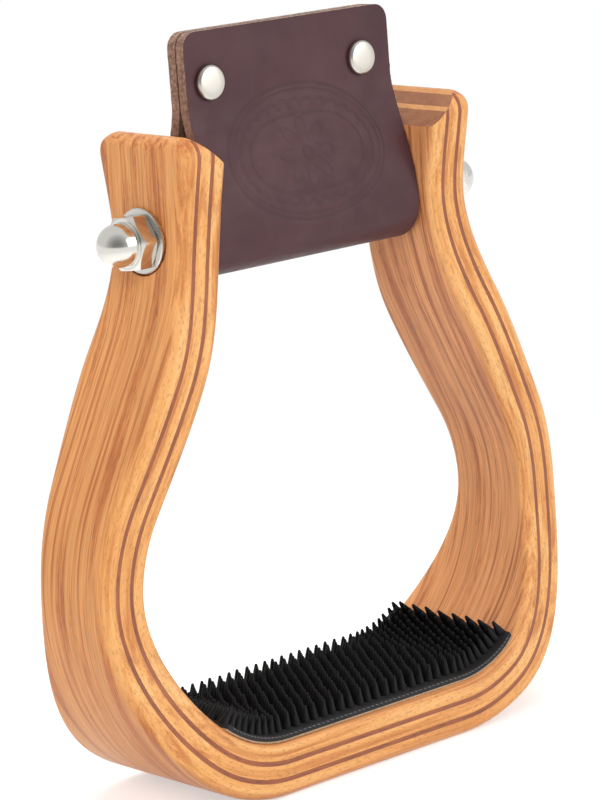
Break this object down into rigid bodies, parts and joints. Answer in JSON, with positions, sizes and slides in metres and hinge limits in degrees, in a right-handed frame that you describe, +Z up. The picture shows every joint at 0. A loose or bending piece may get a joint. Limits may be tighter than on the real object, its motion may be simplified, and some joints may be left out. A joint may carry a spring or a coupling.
{
  "type": "stirrup",
  "caption": "Laminated wooden riding stirrup with a cross bolt, cap nuts, a riveted leather bolt cover and a nubbed rubber tread.",
  "frame": {"origin": "on the ground under the middle of the tread", "axes": "+Z up to the neck, +X across the neck to the right, +Y from the front edge to the back edge"},
  "size_m": [0.1782, 0.051, 0.2096],
  "materials": {
    "wood": "satin",
    "cross_wood": "satin",
    "steel": "polished",
    "rivet_steel": "satin",
    "leather": "smooth",
    "sole_leather": "matte",
    "rubber": "matte",
    "thread": "matte"
  },
  "bodies": {
    "frame": {"outer_ply": "wood", "outer_veneer": "cross_wood", "middle_ply": "wood", "inner_veneer": "cross_wood", "inner_ply": "wood", "bolt": "steel", "washer_left": "steel", "washer_right": "steel", "cap_nut_left": "steel", "cap_nut_right": "steel", "tread_base": "sole_leather", "rubber_mat_left": "rubber", "rubber_mat_middle": "rubber", "rubber_mat_right": "rubber", "thread_front": "thread", "thread_back": "thread"},
    "sleeve": {"bolt_sleeve": "steel"},
    "cover": {"leather_cover": "leather", "rivet_cap_left": "rivet_steel", "rivet_cap_right": "rivet_steel", "rivet_post_left": "rivet_steel", "rivet_post_right": "rivet_steel"}
  },
  "joints": [
    {"name": "sleeve_spin", "type": "hinge", "parent": "frame", "child": "sleeve", "pos_m": [0, 0, 0.156], "axis": [1, 0, 0], "continuous": true},
    {"name": "cover_swing", "type": "hinge", "parent": "frame", "child": "cover", "pos_m": [0, 0, 0.156], "axis": [1, 0, 0], "continuous": true}
  ]
}
